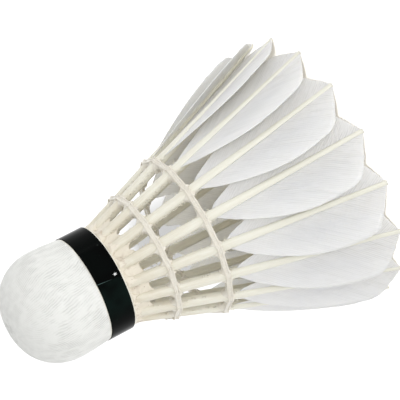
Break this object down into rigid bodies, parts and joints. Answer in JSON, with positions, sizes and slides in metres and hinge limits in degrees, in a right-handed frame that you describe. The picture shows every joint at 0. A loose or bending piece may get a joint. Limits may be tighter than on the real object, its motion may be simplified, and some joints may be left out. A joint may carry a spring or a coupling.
{
  "type": "badminton shuttlecock",
  "caption": "Feather shuttlecock: an open cone of overlapping trimmed feathers, bound by wound threads, set in a round leather-covered cork base with a dark ribbon.",
  "frame": {"origin": "centre of the circle of feather tips, on the surface that the tips stand on", "axes": "+Z along the axis from the feather tips to the nose; -Y through the shaft of feather_01"},
  "size_m": [0.0678, 0.0678, 0.0861],
  "materials": {
    "natural_cork": "sanded natural cork",
    "composite_cork": "pressed cork granules",
    "leather": "white dyed leather with fine creases",
    "ribbon": "glossy dark tape",
    "glue": "dried clear adhesive",
    "thread": "thread soaked in clear adhesive",
    "feather": "white barbs on an ivory shaft"
  },
  "bodies": {
    "root": {"cork_nose": "natural_cork", "cork_collar": "composite_cork", "leather_cover": "leather", "ribbon": "ribbon", "root_glue": "glue", "lower_thread": "thread", "upper_thread": "thread", "feather_01": "feather", "feather_02": "feather", "feather_03": "feather", "feather_04": "feather", "feather_05": "feather", "feather_06": "feather", "feather_07": "feather", "feather_08": "feather", "feather_09": "feather", "feather_10": "feather", "feather_11": "feather", "feather_12": "feather", "feather_13": "feather", "feather_14": "feather", "feather_15": "feather", "feather_16": "feather"}
  },
  "joints": []
}
